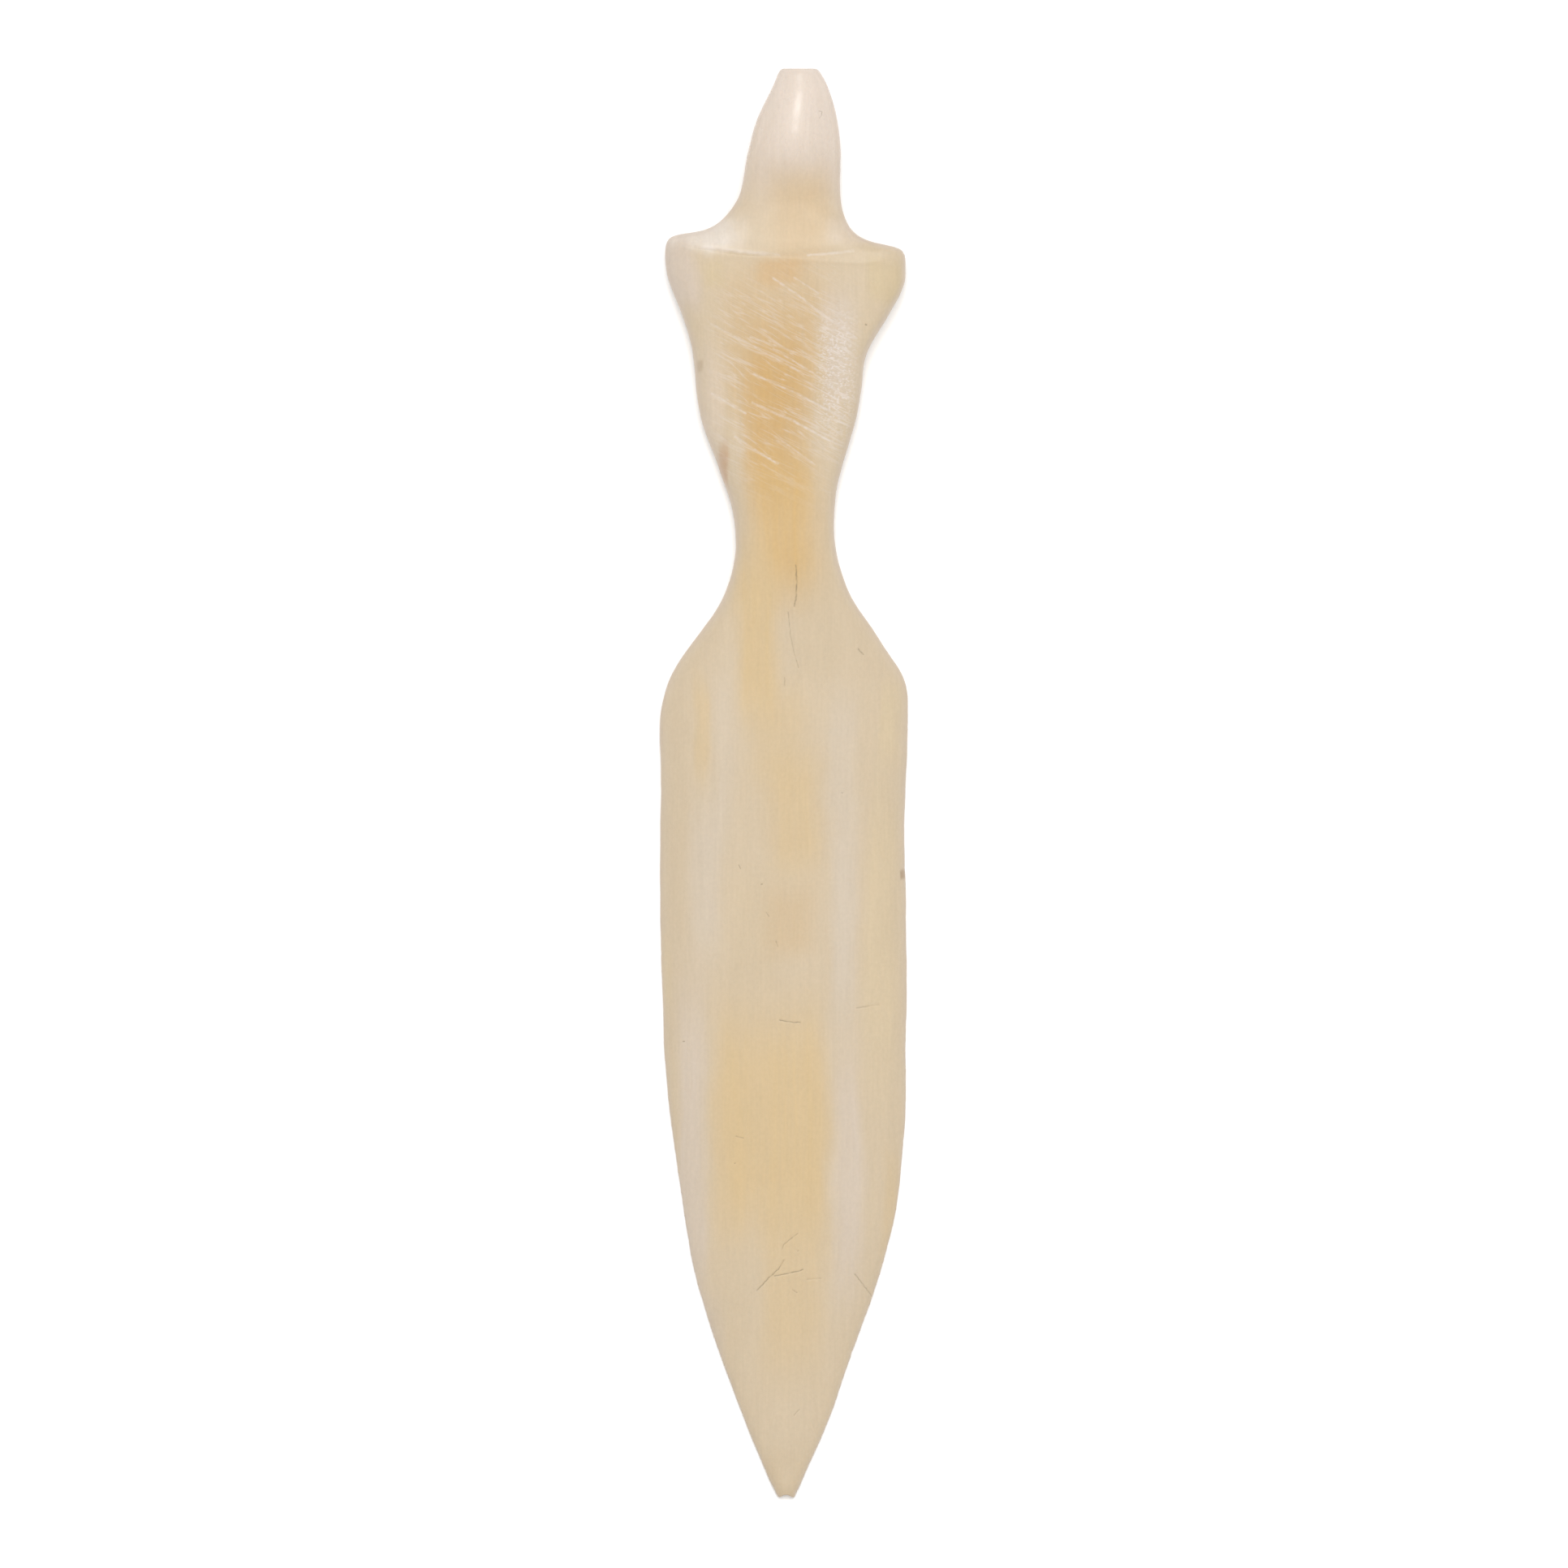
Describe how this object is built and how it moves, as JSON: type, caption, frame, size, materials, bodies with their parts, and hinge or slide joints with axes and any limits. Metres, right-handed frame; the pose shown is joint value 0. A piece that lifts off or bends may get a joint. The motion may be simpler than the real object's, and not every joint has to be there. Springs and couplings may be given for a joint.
{
  "type": "bone folder",
  "caption": "Flat bone paper folder with a long double-edged blade, a narrow waist and a shouldered grip ending in a blunt rounded head, for creasing and smoothing paper.",
  "frame": {"origin": "middle of the tool's box in plan, on the surface that the flat back rests on", "axes": "+X across the blade, +Y along the tool from the tip to the head, +Z out of the front face"},
  "size_m": [0.0286, 0.165, 0.0087],
  "materials": {
    "carved_bone": "satin"
  },
  "bodies": {
    "root": {"bone_folder": "carved_bone"}
  },
  "joints": []
}
